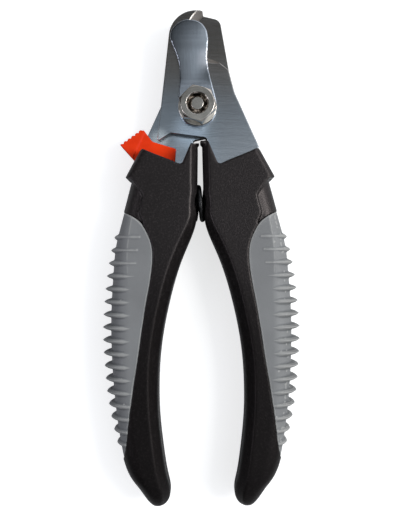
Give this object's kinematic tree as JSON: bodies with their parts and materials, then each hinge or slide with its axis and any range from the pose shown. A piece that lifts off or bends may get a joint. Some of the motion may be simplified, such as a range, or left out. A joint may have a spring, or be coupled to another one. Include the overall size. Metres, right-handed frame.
{
  "type": "scissor nail clipper",
  "caption": "Hand-held scissor clipper for pet nails: two notched steel jaws on a bolt, a sheet guard, curved handles with ribbed grips, a return spring and a thumb lock.",
  "frame": {"origin": "centre of the clipper's footprint, on the flat it lies on", "axes": "+Z out of the front face (nut and guard side), +Y towards the jaw tips, +X towards the right-hand handle"},
  "size_m": [0.0626, 0.1572, 0.0184],
  "materials": {
    "front_blade": "ground stainless steel, fine cross grain",
    "back_blade": "ground stainless steel, fine cross grain",
    "nail_guard": "satin stainless sheet",
    "pivot_nut": "nickel plated",
    "guard_washer": "nickel plated",
    "head_washer": "nickel plated",
    "pivot_bolt": "nickel plated",
    "handle_spring": "black oxide spring steel",
    "lock_slider": "moulded orange-red plastic",
    "lock_retainer": "spring steel clip",
    "left_handle_front": "black, fine texture",
    "left_handle_back": "black, fine texture",
    "right_handle_front": "black, fine texture",
    "right_handle_back": "black, fine texture",
    "left_grip": "mid-grey moulded rubber",
    "right_grip": "mid-grey moulded rubber",
    "left_handle_screws": "dark zinc",
    "right_handle_screws": "dark zinc"
  },
  "bodies": {
    "left_side": {"back_blade": "back_blade", "left_handle_front": "left_handle_front", "left_handle_back": "left_handle_back", "left_grip": "left_grip", "left_handle_screws": "left_handle_screws", "pivot_bolt": "pivot_bolt", "pivot_nut": "pivot_nut", "guard_washer": "guard_washer", "head_washer": "head_washer", "handle_spring": "handle_spring"},
    "right_side": {"front_blade": "front_blade", "right_handle_front": "right_handle_front", "right_handle_back": "right_handle_back", "right_grip": "right_grip", "right_handle_screws": "right_handle_screws"},
    "guard": {"nail_guard": "nail_guard"},
    "lock": {"lock_slider": "lock_slider", "lock_retainer": "lock_retainer"}
  },
  "joints": [
    {"name": "blade_pivot", "type": "hinge", "parent": "left_side", "child": "right_side", "pos_m": [-0.00065, 0.0476, 0.00821], "axis": [0, 0, 1], "range_deg": [0, 28], "stiffness_Nm_per_rad": 0.6, "springref_deg": 34.38, "deforming": ["handle_spring"]},
    {"name": "guard_swing", "type": "hinge", "parent": "left_side", "child": "guard", "pos_m": [-0.00065, 0.0476, 0.01171], "axis": [0, 0, 1], "range_deg": [0, 75]},
    {"name": "lock_slide", "type": "slide", "parent": "left_side", "child": "lock", "axis": [-0.9397, 0.342, 0], "range_m": [0, 0.0058]}
  ]
}
